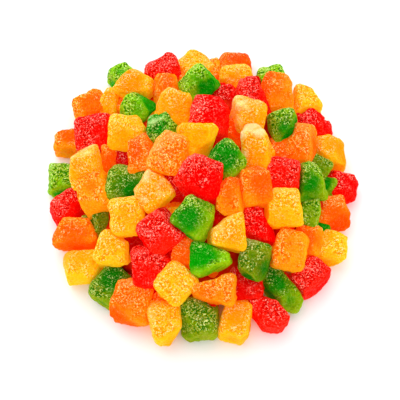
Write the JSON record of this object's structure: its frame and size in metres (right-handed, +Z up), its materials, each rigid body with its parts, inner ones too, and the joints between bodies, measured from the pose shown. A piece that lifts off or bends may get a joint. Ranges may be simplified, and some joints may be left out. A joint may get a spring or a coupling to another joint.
{
  "type": "candied fruit",
  "caption": "Round heap of sugared candied fruit dice in red, orange, yellow and green, fused into one solid with a flat underside.",
  "frame": {"origin": "on the table under the middle of the heap's box", "axes": "+Z up from the table, the side seen in the picture faces -Y"},
  "size_m": [0.1313, 0.1367, 0.0429],
  "materials": {
    "candied_fruit": "sugared, half glossy jelly"
  },
  "bodies": {
    "root": {"fruit_heap": "candied_fruit"}
  },
  "joints": []
}
